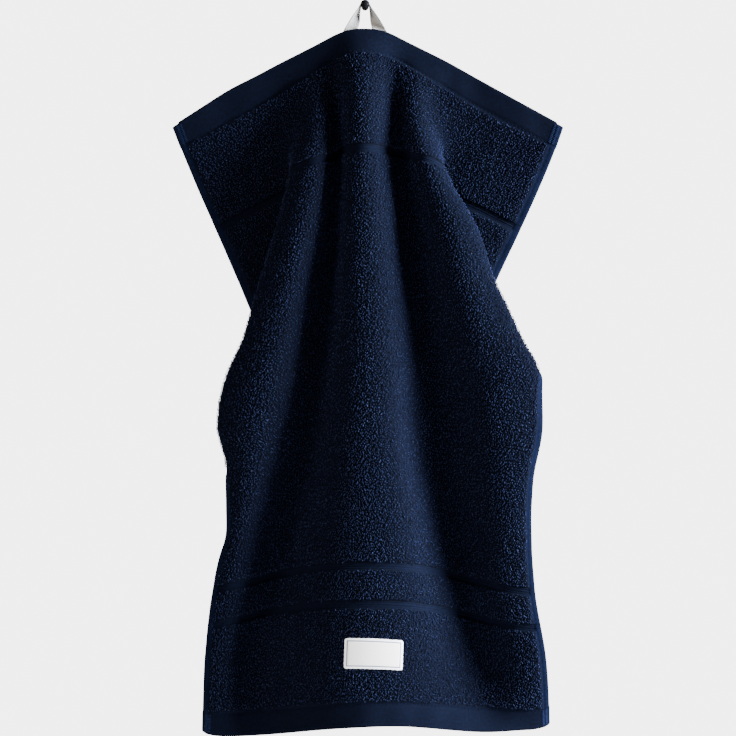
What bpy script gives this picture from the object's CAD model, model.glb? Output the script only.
# %% [markdown]
# # A terry guest towel on a wall peg
# This script dresses a towel that hangs from a small peg. Its solid model is the frame: it says where the
# cloth, the ribbon loop, the label and the peg are, and nothing here moves them. Each step below makes one
# piece of the real towel, in the order in which a weaver and a sewer would, and then gives it its finish.

# %% Load the frame
import math

import bmesh
import bpy
import numpy as np
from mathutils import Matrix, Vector


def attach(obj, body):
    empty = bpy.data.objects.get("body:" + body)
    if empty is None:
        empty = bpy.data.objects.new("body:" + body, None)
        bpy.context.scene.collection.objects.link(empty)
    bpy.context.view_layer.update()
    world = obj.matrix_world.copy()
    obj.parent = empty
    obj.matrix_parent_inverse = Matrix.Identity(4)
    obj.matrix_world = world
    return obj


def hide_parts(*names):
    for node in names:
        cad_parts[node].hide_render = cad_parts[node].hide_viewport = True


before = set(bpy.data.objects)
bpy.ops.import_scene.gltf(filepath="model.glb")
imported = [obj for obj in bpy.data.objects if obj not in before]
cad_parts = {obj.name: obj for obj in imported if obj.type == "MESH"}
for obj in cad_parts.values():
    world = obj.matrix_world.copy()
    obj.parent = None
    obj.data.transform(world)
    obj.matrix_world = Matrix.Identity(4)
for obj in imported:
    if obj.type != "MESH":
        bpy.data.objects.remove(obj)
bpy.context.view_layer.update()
print("frame nodes:", sorted(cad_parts))

# %% [markdown]
# ## Sizes
# A guest towel is cut to 300 by 500 mm. The lengths of its pieces are written in millimetres and turned
# into metres where a mesh is made. The towel's own coordinates are "across", from -150 at the left selvedge
# to 150 at the right, and "down", from 0 at the top hem to 500 at the bottom one, as if it lay flat on a
# table.

# %% Name the sizes
MM = 0.001
HALF_WIDTH = 150.0
LENGTH = 500.0
HEM_DEPTH = 17.0
SELVEDGE_WIDTH = 4.5
BAND_DEPTH = 5.5
BAND_STARTS = [83.0, 384.0, 411.5]
GROUND_HALF = 1.7
HEM_HALF = 1.2
FLAT_HALF = 0.9
SEED = 7
print("flat size, mm:", 2 * HALF_WIDTH, "by", LENGTH)

# %% [markdown]
# ## The camera
# The towel is seen face on, from a few metres away with a long lens, so its sides hardly converge. The lens
# is worked out from the distance and from the width that one pixel of a 736 pixel picture covers at the
# cloth.

# %% Make the camera
PICTURE_WIDTH = 736
MM_A_PIXEL = 0.711
CAMERA_DISTANCE = 2400.0
CLOTH_OUT = 13.0
CAMERA_X = 2.1
CAMERA_FALL = 258.0
SENSOR = 36.0

camera_data = bpy.data.cameras.new("towel_camera")
camera_data.sensor_width = SENSOR
camera_data.lens = SENSOR * (CAMERA_DISTANCE - CLOTH_OUT) / (PICTURE_WIDTH * MM_A_PIXEL)
camera = bpy.data.objects.new("towel_camera", camera_data)
camera.location = (CAMERA_X * MM, -CAMERA_DISTANCE * MM, -CAMERA_FALL * MM)
camera.rotation_euler = (math.radians(90), 0, 0)
bpy.context.scene.collection.objects.link(camera)
bpy.context.scene.camera = camera
print("lens, mm:", round(camera_data.lens, 1))

# %% [markdown]
# ## Folds in a hung cloth
# A towel that hangs from the middle of one edge drops into three ridges with a trough between each, and its
# two top corners fall back as flat flaps. Simulation would give some folds, but not these. So the folds are
# read off as a tailor would chalk them: a row for each distance down the cloth, saying where each ridge,
# trough and edge lies across, how far it stands out from the wall, and how far it hangs below the peg.

# %% Write down the folds
COLUMNS = ["down", "edge_l", "tuck_l", "brow_l", "crest_l", "dip_l", "ridge_l",
           "ridge_r", "dip_r", "crest_r", "brow_r", "tuck_r", "edge_r"]
ACROSS = [
    [0, -136.5, -97, -77, -61, -34, -13, 11, 30, 56, 76, 96, 140.5],
    [20, -129.5, -78, -54, -40, -24, -10.5, 5, 22.5, 37, 51, 77, 134],
    [45, -120, -62, -48, -33, -18, -8, 4.5, 21, 36.5, 48.5, 62, 124.7],
    [85, -106, -50, -52, -33.5, -18, -8, 4.5, 23.5, 42, 56, 51, 110.3],
    [130, -89.5, -53, -65, -41, -21, -9.5, 8.5, 27, 59, 79.5, 62, 92.5],
    [170, -75, -58, -77, -51, -24, -10, 11, 31, 68, 90, 74, 80],
    [210, -60, -69, -87.7, -59.5, -29, -10.5, 13.5, 36, 79, 106.5, 101, 94],
    [240, -68, -82, -100.3, -64.5, -33.5, -11, 15.5, 38, 88, 119.5, 122.5, 125],
    [275, -89, -98, -104.4, -71, -40, -12, 16, 38.5, 94, 117, 121.5, 125.3],
    [310, -98.9, -96.5, -91.7, -78, -46.5, -14, 19.5, 42, 96, 111.5, 115.5, 118.5],
    [345, -97.5, -96, -92.5, -86, -55.5, -16.5, 22.5, 52, 97.5, 110.5, 114.5, 117.2],
    [364, -103.6, -101.8, -97.5, -90, -60, -17.2, 23.8, 57, 98.7, 111, 115, 118],
    [384, -107.2, -105, -101, -93.5, -65, -18, 25, 62.5, 100, 112, 116, 119.5],
    [440, -113.2, -111, -107, -100, -78, -20, 25.5, 77, 108, 118, 123, 127.7],
    [500, -115, -112.5, -109, -103, -75, -20, 24, 84, 111, 120, 126, 130.6],
]
OUT_COLUMNS = ["down", "edge_l", "tuck_l", "brow_l", "crest_l", "dip_l", "ridge",
               "dip_r", "crest_r", "brow_r", "tuck_r", "edge_r"]
OUT = [
    [0, 11, 12, 12, 12, 12, 14, 12, 12, 12, 12, 11],
    [20, 10, 11, 13, 16, 13.5, 20, 13.5, 17, 13, 11, 10],
    [45, 9, 10.5, 16, 24, 14.5, 28, 15, 25, 16, 10.5, 9],
    [85, 8, 12.5, 23, 32, 16, 34, 16, 33, 23, 12.5, 8],
    [130, 8, 13.5, 26, 37, 17, 38, 18, 37, 26, 14, 8],
    [170, 9, 14.5, 28, 39, 18, 40, 19, 39, 28, 15, 10],
    [210, 11, 17, 29, 39, 19, 41, 20, 38.5, 30, 20, 15],
    [240, 14, 20, 30, 39, 19, 42, 20, 37, 33, 29.5, 27],
    [275, 19, 22, 29, 37, 18, 42, 19, 35, 33, 31.5, 30],
    [310, 25, 27, 30, 34, 16, 42, 17, 32.5, 31.5, 30.5, 29],
    [345, 24, 25, 27, 30, 13, 42, 14, 30, 29.5, 29, 27.5],
    [364, 22.5, 23.5, 25, 27.5, 12, 42, 13, 28.5, 28.3, 27.8, 26.5],
    [384, 21, 22, 23, 25, 11, 42, 12, 27, 27, 26.5, 25.5],
    [440, 18, 18.5, 19, 20, 10, 42, 12, 23, 24.5, 24, 23.5],
    [500, 17, 17, 17, 17.5, 15, 41, 25, 20, 18.5, 17.5, 16.5],
]
FALL = [
    [0, 86, 60.8, 50.6, 41.9, 28.3, 18.3, 18, 26.4, 39.4, 50.6, 61.7, 86],
    [20, 104, 76.5, 63, 54.5, 43.5, 37.3, 37.3, 42, 51.3, 59, 75, 104.5],
    [45, 127, 96.5, 87, 77.5, 67.5, 61.8, 61.8, 69, 76.5, 84, 95, 127],
    [85, 159, 128, 118.5, 110.5, 105.4, 102, 102, 105.3, 109, 117, 129.5, 159],
    [130, 197, 177, 167, 157, 150, 145.5, 145.5, 148.3, 153, 160, 180, 197],
    [170, 232, 222, 206, 197, 189, 184.5, 184.5, 186.4, 190, 194, 225, 228],
    [210, 268, 262, 241, 234, 228, 224, 224, 225.7, 229, 228, 241, 252],
    [240, 299, 284, 267, 262, 257.5, 254, 254, 255.6, 259, 257, 259, 262],
    [275, 322, 312, 298, 294, 291, 288, 288, 289.6, 294, 295, 297, 298],
    [310, 338, 336, 333, 330, 326, 322.5, 322.5, 325, 331, 333, 335, 336],
    [345, 373, 372, 371, 367, 361.5, 356.5, 356.5, 361, 368, 371, 372, 373],
    [364, 393, 392.3, 391, 388, 382, 375.5, 375.5, 381.5, 389.5, 392, 393, 393.3],
    [384, 413, 412.5, 411, 409, 403, 394.5, 394.5, 402.8, 411, 413, 414, 414],
    [440, 464, 464, 463, 461, 457.5, 450, 450, 458.2, 463, 464, 464, 463],
    [500, 516.5, 517.5, 518.3, 518.9, 518.3, 511.1, 509.4, 515.2, 514.3, 514.1, 512.9, 511.3],
]
print("sections of the cloth:", len(ACROSS))

# %% [markdown]
# ## From chalk marks to a smooth surface
# The marks are joined in two steps. Each row is drawn as a smooth curve through its marks and divided
# evenly, so that threads which are evenly spaced in the flat cloth stay so in the hung one. The evenly
# spaced points are then the control net of a cubic B-spline, the curve family that boat builders know as a
# bent batten: it rounds every fold, and its slopes are known everywhere, so the direction that the pile
# stands in is exact.

# %% Curves through points
def unit(vectors):
    """The same directions with a length of one."""
    return vectors / np.linalg.norm(vectors, axis=-1, keepdims=True)


def travelled(points, power=1.0):
    """How far each point of a line is along it, with each step raised to a power."""
    steps = np.linalg.norm(np.diff(points, axis=0), axis=1) ** power
    return np.concatenate([[0], np.cumsum(steps)])


def hermite(knots, values, slopes, at):
    """Reads a smooth curve with given values and slopes at its knots."""
    i = np.clip(np.searchsorted(knots, at, side="right") - 1, 0, len(knots) - 2)
    width = (knots[i + 1] - knots[i])[:, None]
    t = (at - knots[i])[:, None] / width
    start = (2 * t**3 - 3 * t**2 + 1) * values[i] + (t**3 - 2 * t**2 + t) * width * slopes[i]
    return start + (3 * t**2 - 2 * t**3) * values[i + 1] + (t**3 - t**2) * width * slopes[i + 1]


def curve_through(knots, values, at, steady):
    """A smooth curve through values at knots. If steady, it never swings past the values."""
    knots, values = np.asarray(knots, float), np.asarray(values, float)
    step = np.diff(knots)[:, None]
    rise = np.diff(values, axis=0) / step
    inner = (rise[:-1] * step[1:] + rise[1:] * step[:-1]) / (step[:-1] + step[1:])
    if steady:
        limit = 3 * np.minimum(np.abs(rise[:-1]), np.abs(rise[1:]))
        held = np.sign(inner) * np.minimum(np.abs(inner), limit)
        inner = np.where(rise[:-1] * rise[1:] > 0, held, 0)
    slopes = np.concatenate([rise[:1], inner, rise[-1:]])
    return hermite(knots, values, slopes, np.asarray(at, float))


# %% Marks of every section
def named_columns(names, rows):
    """A table as one array for each column name."""
    return {name: np.array([row[i] for row in rows], float) for i, name in enumerate(names)}


def section_marks():
    """The marks that each section runs through, left selvedge to right, as (sections, marks, 3)."""
    across = named_columns(COLUMNS, ACROSS)
    out = named_columns(OUT_COLUMNS, OUT)
    fall = named_columns(COLUMNS, FALL)

    def mark(name, out_name=None):
        return np.stack([across[name], -out[out_name or name], -fall[name]], axis=1)

    left = [mark("edge_l"), (mark("edge_l") + mark("tuck_l")) / 2,
            mark("tuck_l"), mark("brow_l"), mark("crest_l")]
    right = [mark("crest_r"), mark("brow_r"), mark("tuck_r"),
             (mark("tuck_r") + mark("edge_r")) / 2, mark("edge_r")]
    ridges = [mark("dip_l"), mark("ridge_l", "ridge"), mark("ridge_r", "ridge"), mark("dip_r")]
    return np.stack(left + ridges + right, axis=1)


print("marks in a section:", section_marks().shape[1])

# %% The control net of the cloth
NET_ACROSS = 7.5
NET_DOWN = 10.0
FINE_STEPS = 800
# Knots spaced by the root of the chord keep a curve from overshooting where its marks are uneven.
CHORD_POWER = 0.5
RIDGE_LEFT_MARK = 6


def even_row(marks, places):
    """Points at places across, spaced evenly along each half of a section's smooth curve."""
    knots = travelled(marks, CHORD_POWER)
    steps = np.linspace(0, knots[-1], FINE_STEPS + 1)
    fine = curve_through(knots, marks, steps, steady=False)
    along = travelled(fine)
    middle_knot = (knots[RIDGE_LEFT_MARK] + knots[RIDGE_LEFT_MARK + 1]) / 2
    middle = along[int(round(middle_knot / knots[-1] * FINE_STEPS))]
    share = places / HALF_WIDTH
    target = np.where(share < 0, middle * (1 + share), middle + (along[-1] - middle) * share)
    return np.stack([np.interp(target, along, fine[:, k]) for k in range(3)], axis=1)


def control_net():
    """The net of control points, with one row and one column beyond each border of the cloth."""
    marks = section_marks()
    knots = [row[0] for row in ACROSS]
    downs = np.arange(0, LENGTH + 1, NET_DOWN)
    places = np.arange(-HALF_WIDTH, HALF_WIDTH + 1, NET_ACROSS)
    rows = curve_through(knots, marks.reshape(len(knots), -1), downs, steady=True)
    net = np.array([even_row(row.reshape(-1, 3), places) for row in rows])
    net = np.concatenate([2 * net[:1] - net[1:2], net, 2 * net[-1:] - net[-2:-1]])
    return np.concatenate([2 * net[:, :1] - net[:, 1:2], net, 2 * net[:, -1:] - net[:, -2:-1]], axis=1)


NET = control_net()
print("control net:", NET.shape[0], "by", NET.shape[1])


# %% Read the surface anywhere
def spline_parts(places, spacing, count):
    """For each place, the first of its four control rows, their weights and their slopes."""
    at = np.asarray(places, float) / spacing
    first = np.clip(np.floor(at).astype(int), 0, count - 4)
    t = at - first
    values = [(1 - t)**3, 3 * t**3 - 6 * t**2 + 4, -3 * t**3 + 3 * t**2 + 3 * t + 1, t**3]
    slopes = [-(1 - t)**2, 3 * t**2 - 4 * t, -3 * t**2 + 2 * t + 1, t**2]
    return first, np.stack(values, axis=-1) / 6, np.stack(slopes, axis=-1) / 2


def cloth_at(across, down):
    """Middle surface points, unit directions across and down, and front normals at arrays of places."""
    column, side, side_slope = spline_parts(np.asarray(across, float) + HALF_WIDTH, NET_ACROSS, NET.shape[1])
    row, drop, drop_slope = spline_parts(down, NET_DOWN, NET.shape[0])
    point, along_across, along_down = 0.0, 0.0, 0.0
    for i in range(4):
        for j in range(4):
            control = NET[row + i, column + j]
            point = point + control * (drop[..., i] * side[..., j])[..., None]
            along_across = along_across + control * (drop[..., i] * side_slope[..., j])[..., None]
            along_down = along_down + control * (drop_slope[..., i] * side[..., j])[..., None]
    along_across, along_down = unit(along_across), unit(along_down)
    return point, along_across, along_down, unit(np.cross(along_down, along_across))


print("middle of the bottom hem, mm:", np.round(cloth_at(0.0, LENGTH)[0], 1))

# %% [markdown]
# ## Small unevenness
# No washed towel is perfectly smooth. A lattice of random heights, read through the same B-spline weights,
# gives soft swells of any chosen size. The random numbers are seeded, so the script gives the same towel
# each time.

# %% Soft random swells
# The curve evens its lattice out, so heights of up to 1.6 give swells of about 1.
LATTICE_REACH = 1.6
LATTICE_SPARE = 5


def swells(across, down, spacing, seed):
    """A smooth random height, about -1 to 1, that changes over the spacing, at arrays of places."""
    columns = int(2 * HALF_WIDTH / spacing) + LATTICE_SPARE
    rows = int(LENGTH / spacing) + LATTICE_SPARE
    lattice = np.random.default_rng(seed).uniform(-LATTICE_REACH, LATTICE_REACH, (rows, columns))
    column, side, _ = spline_parts(np.asarray(across, float) + HALF_WIDTH, spacing, columns)
    row, drop, _ = spline_parts(down, spacing, rows)
    height = 0.0
    for i in range(4):
        for j in range(4):
            height = height + lattice[row + i, column + j] * drop[..., i] * side[..., j]
    return height


print("a swell:", round(float(swells(10.0, 20.0, 18.0, SEED)), 3))

# %% [markdown]
# ## Mesh helpers
# Every piece of cloth here is a slab: a front grid and a back grid of points, closed by a rounded rim, the
# way a hem turns over. One helper makes any such slab, with the cloth's own coordinates in its UV map, so
# that a weave in the material follows the threads round every fold.

# %% Make a mesh from arrays
def mesh_object(name, points, faces, uv=None, shade=None):
    """A smooth-shaded mesh from points in mm, with a pair of cloth coordinates and a shade for each point."""
    mesh = bpy.data.meshes.new(name)
    points = np.asarray(points, float) * MM
    faces = np.asarray(faces)
    mesh.vertices.add(len(points))
    mesh.vertices.foreach_set("co", points.ravel())
    corners = faces.shape[1]
    mesh.loops.add(faces.size)
    mesh.loops.foreach_set("vertex_index", faces.ravel().astype(np.int32))
    mesh.polygons.add(len(faces))
    mesh.polygons.foreach_set("loop_start", np.arange(0, faces.size, corners, dtype=np.int32))
    mesh.polygons.foreach_set("use_smooth", np.ones(len(faces), bool))
    if uv is not None:
        layer = mesh.uv_layers.new(name="cloth")
        layer.data.foreach_set("uv", (np.asarray(uv) * MM)[faces.ravel()].astype(np.float32).ravel())
    if shade is not None:
        layer = mesh.attributes.new("yarn_shade", "FLOAT", "POINT")
        layer.data.foreach_set("value", shade.astype(np.float32).ravel())
    mesh.update(calc_edges=True)
    piece = bpy.data.objects.new(name, mesh)
    bpy.context.scene.collection.objects.link(piece)
    return piece


def slab_object(name, front, back, rim_out, uv, shade=None):
    """A closed slab from front and back grids, with a rim whose middle stands rim_out mm proud."""
    rows, columns = front.shape[:2]
    count = rows * columns
    grid = np.arange(count).reshape(rows, columns)
    quads = np.stack([grid[:-1, :-1], grid[1:, :-1], grid[1:, 1:], grid[:-1, 1:]], axis=-1).reshape(-1, 4)
    border = np.concatenate([grid[:-1, 0], grid[-1, :-1], grid[:0:-1, -1], grid[0, :0:-1]])
    rows_in = np.clip(border // columns, 1, rows - 2)
    columns_in = np.clip(border % columns, 1, columns - 2)
    middle = (front.reshape(-1, 3)[border] + back.reshape(-1, 3)[border]) / 2
    nearby = (front[rows_in, columns_in] + back[rows_in, columns_in]) / 2
    outward = unit(middle - nearby)
    rim = 2 * count + np.arange(len(border))
    after, rim_after = np.roll(border, -1), np.roll(rim, -1)
    front_rim = np.stack([border, rim, rim_after, after], axis=-1)
    back_rim = np.stack([rim, border + count, after + count, rim_after], axis=-1)
    points = np.concatenate([front.reshape(-1, 3), back.reshape(-1, 3), middle + rim_out * outward])
    faces = np.concatenate([quads, quads[:, ::-1] + count, front_rim, back_rim])
    flat = uv.reshape(-1, 2)
    places = np.concatenate([flat, flat, flat[border]])
    if shade is not None:
        shades = shade.ravel()
        shade = np.concatenate([shades, shades, shades[border]])
    return mesh_object(name, points, faces, places, shade)


print("helpers ready")

# %% [markdown]
# ## The woven ground
# Under the pile a towel is a plain cloth. It shows at the hems, which are turned over and stitched, at the
# two selvedges, and at three narrow bands where the loom leaves the loops out and weaves fine ribs, so they
# lie below the pile. All of that is one sheet here. Its grid is finest in the bands, where each rib needs
# its own rows, and the thickness at each point says which weave is there.

# %% Rows and columns of the ground
GROUND_STEP = 2.6
RIB_STEP = 0.46
EDGE_STEP = 0.7
BAND_MARGIN = 0.5
SEAM_ZONE = 2.1
ZONE_MARGIN = 0.7


def graded(start, end, fine_zones, fine, coarse):
    """Places from start to end, fine mm apart inside the zones and about coarse mm apart outside them."""
    marks = sorted({start, end, *[edge for zone in fine_zones for edge in zone]})
    places = []
    for low, high in zip(marks[:-1], marks[1:]):
        in_zone = any(zone[0] <= (low + high) / 2 <= zone[1] for zone in fine_zones)
        count = max(1, int(round((high - low) / (fine if in_zone else coarse))))
        places.extend(low + (high - low) * np.arange(count) / count)
    return np.array(places + [end])


band_zones = [(start - BAND_MARGIN, start + BAND_DEPTH + BAND_MARGIN) for start in BAND_STARTS]
hem_zones = [(0.0, SEAM_ZONE), (HEM_DEPTH - SEAM_ZONE, HEM_DEPTH + ZONE_MARGIN)]
hem_zones += [(LENGTH - high, LENGTH - low) for low, high in hem_zones]
ground_downs = graded(0.0, LENGTH, band_zones, RIB_STEP, GROUND_STEP)
ground_downs = np.unique(np.concatenate([
    ground_downs[[not any(low < d < high for low, high in hem_zones) for d in ground_downs]],
    *[graded(low, high, [(low, high)], EDGE_STEP, EDGE_STEP) for low, high in hem_zones],
]).round(4))
selvedge_inner = HALF_WIDTH - SELVEDGE_WIDTH
edge_zones = [(-HALF_WIDTH, -selvedge_inner + ZONE_MARGIN), (selvedge_inner - ZONE_MARGIN, HALF_WIDTH)]
ground_across = graded(-HALF_WIDTH, HALF_WIDTH, edge_zones, EDGE_STEP, GROUND_STEP)
print("ground grid:", len(ground_downs), "rows by", len(ground_across), "columns")


# %% Thickness of each weave
RIB_PITCH = BAND_DEPTH / 3
RIB_HEIGHT = 0.22
GROOVE_DEPTH = 0.35
GROOVE_WIDTH = 0.9
GROOVE_INSET = 0.3
SELVEDGE_CROWN = 0.25
SELVEDGE_RISE = (-0.2, 0.4)
SEAM_INSET = 1.2
SEAM_WIDTH = 0.5
SEAM_DEPTH = 0.3
FIRST_RIB = (-0.4, 0.5)
FIRST_RIB_SOFT = 0.2
FIRST_RIB_DIM = 0.6
HEM_TONE = 0.2
BAND_TONE = 0.2
BED_TONE = 0.15
SELVEDGE_TONE = 0.45


def smooth_step(low, high, value):
    """Rises smoothly from 0 at low to 1 at high."""
    t = np.clip((value - low) / (high - low), 0, 1)
    return t * t * (3 - 2 * t)


def inside(low, high, value, soft=0.25):
    """1 between low and high, 0 outside, with soft edges."""
    return smooth_step(low - soft, low + soft, value) * (1 - smooth_step(high - soft, high + soft, value))


def hem_share(down):
    """1 in the two hems and 0 in the body."""
    return 1 - inside(HEM_DEPTH, LENGTH - HEM_DEPTH, down)


def band_share(down):
    """1 in the three recessed bands and 0 elsewhere."""
    return sum(inside(start, start + BAND_DEPTH, down) for start in BAND_STARTS)


def selvedge_share(across):
    """1 in the two selvedges and 0 between them."""
    start, end = (selvedge_inner + rise for rise in SELVEDGE_RISE)
    return smooth_step(start, end, np.abs(across))


def ground_half(across, down):
    """Half the ground's thickness at each place."""
    hem, band, selvedge = hem_share(down), band_share(down), selvedge_share(across)
    half = GROUND_HALF + (HEM_HALF - GROUND_HALF) * hem
    ribs = sum(inside(start, start + BAND_DEPTH, down) * np.cos(2 * np.pi * (down - start) / RIB_PITCH)
               for start in BAND_STARTS)
    half = half + band * (FLAT_HALF - GROUND_HALF) - RIB_HEIGHT * ribs
    past_inner = np.abs(across) - selvedge_inner
    crown = SELVEDGE_CROWN * np.sin(np.pi * np.clip(past_inner / SELVEDGE_WIDTH, 0, 1))
    half = half * (1 - selvedge) + selvedge * (FLAT_HALF + crown)
    groove = np.exp(-((past_inner + GROOVE_INSET) / (GROOVE_WIDTH / 2))**2) * (1 - hem)
    seam_place = np.minimum(np.abs(down - HEM_DEPTH + SEAM_INSET),
                            np.abs(down - LENGTH + HEM_DEPTH - SEAM_INSET))
    seam = np.exp(-(seam_place / SEAM_WIDTH)**2)
    return half - GROOVE_DEPTH * groove - SEAM_DEPTH * seam


def ground_tone(across, down):
    """How light each weave looks: the selvedges most, then hems and bands, and the bed of the pile least."""
    hem, band, selvedge = hem_share(down), band_share(down), selvedge_share(across)
    first_rib = sum(inside(start + FIRST_RIB[0], start + FIRST_RIB[1], down, FIRST_RIB_SOFT)
                    for start in BAND_STARTS)
    tone = BED_TONE + (HEM_TONE - BED_TONE) * hem
    tone = tone + (BAND_TONE - tone) * band
    tone = tone + (SELVEDGE_TONE - tone) * selvedge
    return tone * (1 - FIRST_RIB_DIM * first_rib)


print("half thickness at a hem, mm:", round(float(ground_half(np.array(0.0), np.array(8.0))), 2))

# %% [markdown]
# ## Ripples of the cloth itself
# Both faces follow the folds, moved a little along the normal: broad soft swells where the cloth has been
# pressed and washed, and a finer pucker along the selvedges and hems, which shrink more than the pile
# beside them.

# %% Build the ground sheet
SWELL_SPACING = 26.0
SWELL_HEIGHT = 0.55
PUCKER_SPACING = 9.0
PUCKER_HEIGHT = 0.5
PUCKER_REACH = 12.0
EDGE_REACH = 3.0
HEM_OVERHANG = 0.3
CORNER_ROUND = 1.8
HEM_END_STEP = 0.8
HEM_END_REACH = 4.0
GROUND_RIM = 0.6


def ripple(across, down):
    """How far the whole cloth is moved along its normal at each place, in mm."""
    side = smooth_step(HALF_WIDTH - PUCKER_REACH, HALF_WIDTH - EDGE_REACH, np.abs(across))
    border = np.maximum(hem_share(down), side)
    broad = SWELL_HEIGHT * swells(across, down, SWELL_SPACING, SEED)
    pucker = PUCKER_HEIGHT * border * swells(across, down, PUCKER_SPACING, SEED + 1)
    return broad + pucker


across_grid, down_grid = np.meshgrid(ground_across, ground_downs)
points, side_way, down_way, normals = cloth_at(across_grid, down_grid)
points = points + normals * ripple(across_grid, down_grid)[..., None]
into_corner = CORNER_ROUND * np.clip(1 - (LENGTH - down_grid) / CORNER_ROUND, 0, 1)
rounding = CORNER_ROUND - np.sqrt(CORNER_ROUND**2 - into_corner**2)
at_side = np.sign(across_grid) * smooth_step(HALF_WIDTH - EDGE_REACH, HALF_WIDTH, np.abs(across_grid))
points = points + side_way * (at_side * (HEM_OVERHANG * hem_share(down_grid) - rounding))[..., None]
end_step = HEM_END_STEP * selvedge_share(across_grid) * np.clip(1 - down_grid / HEM_END_REACH, 0, 1)
points = points + down_way * end_step[..., None]
half = ground_half(across_grid, down_grid)[..., None]
ground = slab_object("woven_ground", points + normals * half, points - normals * half, GROUND_RIM,
                     np.stack([across_grid, down_grid], axis=-1), ground_tone(across_grid, down_grid))
print("woven ground:", len(ground.data.polygons), "faces")

# %% [markdown]
# ## The terry loops
# Terry is cloth with a second, slack warp that the reed pushes up into loops. A bump map can't give the
# tiny shadows between them, so the loops are real. Each is a short arch of yarn that leans its own way: two
# feet in the ground, and two three-cornered rings for its shoulders. Real loops stand about 1.5 mm apart;
# here they are drawn a little further apart, which is as coarse as still reads as terry, and each face is
# joined into a few meshes.

# %% Where the loops stand
LABEL_CENTRE_DOWN = 449.0
LABEL_X = 6.0
LABEL_WIDTH = 41.0
LABEL_HEIGHT = 21.0
LABEL_TILT = math.radians(2.0)
COLUMN_STRETCH = 1.1
ROW_STRETCH = 0.9
SCATTER = 0.3
LABEL_MARGIN = 0.8
FIRST_ROW = HEM_DEPTH + 0.9
ROWS_END = LENGTH - HEM_DEPTH - 0.8
FIRST_COLUMN = -selvedge_inner + 1.0
COLUMNS_END = selvedge_inner - 0.9
PILE_TO_HEM = 0.6
PILE_TO_SELVEDGE = 0.7
PILE_TO_BAND = 0.45


def loop_places(pitch, seed):
    """Places of the loops: a staggered grid, each moved a little at random, with the flat weaves left out."""
    random = np.random.default_rng(seed)
    rows = np.arange(FIRST_ROW, ROWS_END, pitch * ROW_STRETCH)
    columns = np.arange(FIRST_COLUMN, COLUMNS_END, pitch * COLUMN_STRETCH)
    down, across = np.meshgrid(rows, columns, indexing="ij")
    across = across + (np.arange(len(rows)) % 2)[:, None] * pitch * COLUMN_STRETCH / 2
    down = (down + random.uniform(-SCATTER, SCATTER, down.shape) * pitch).ravel()
    across = (across + random.uniform(-SCATTER, SCATTER, across.shape) * pitch).ravel()
    keep = np.abs(across) < selvedge_inner - PILE_TO_SELVEDGE
    keep &= (down > HEM_DEPTH + PILE_TO_HEM) & (down < LENGTH - HEM_DEPTH - PILE_TO_HEM)
    for start in BAND_STARTS:
        keep &= (down < start - PILE_TO_BAND) | (down > start + BAND_DEPTH + PILE_TO_BAND)
    return across[keep], down[keep]


def under_label(x, down):
    """Whether a place x mm right of the peg and down the cloth is covered by the label."""
    right, below = x - LABEL_X, down - LABEL_CENTRE_DOWN
    a = right * math.cos(LABEL_TILT) + below * math.sin(LABEL_TILT)
    b = below * math.cos(LABEL_TILT) - right * math.sin(LABEL_TILT)
    return (np.abs(a) < LABEL_WIDTH / 2 + LABEL_MARGIN) & (np.abs(b) < LABEL_HEIGHT / 2 + LABEL_MARGIN)


def loop_faces():
    """The twelve triangles of one loop: a foot, two rings of three corners, and the other foot."""
    first_ring, second_ring, last_foot = 1, 4, 7
    faces = []
    for k in range(3):
        after = (k + 1) % 3
        faces.append([0, first_ring + after, first_ring + k])
        faces.append([first_ring + k, first_ring + after, second_ring + after])
        faces.append([first_ring + k, second_ring + after, second_ring + k])
        faces.append([second_ring + k, second_ring + after, last_foot])
    return np.array(faces)


# How far loops turn, lean and differ: turns in radians, lengths in mm, thickness as a share.
TURN_SPREAD = 0.55
LEAN_SPREAD = 0.32
LEAN_DOWN = 0.25
HEIGHT_SPREAD = (-0.42, 0.3)
HALF_SPAN = (0.38, 0.55)
YARN_SPREAD = (0.85, 1.15)
FOOT_SINK = 0.5
FOOT_SPAN = 0.9
SHOULDER_SPLAY = 0.35
# A loop's shade is mostly chance and partly its height, because tall loops catch more light.
CHANCE_SHARE = 0.7
TONE_POWER = 1.3
LOOP_CORNERS = 8
SHAPE_SEED = 50


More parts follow.
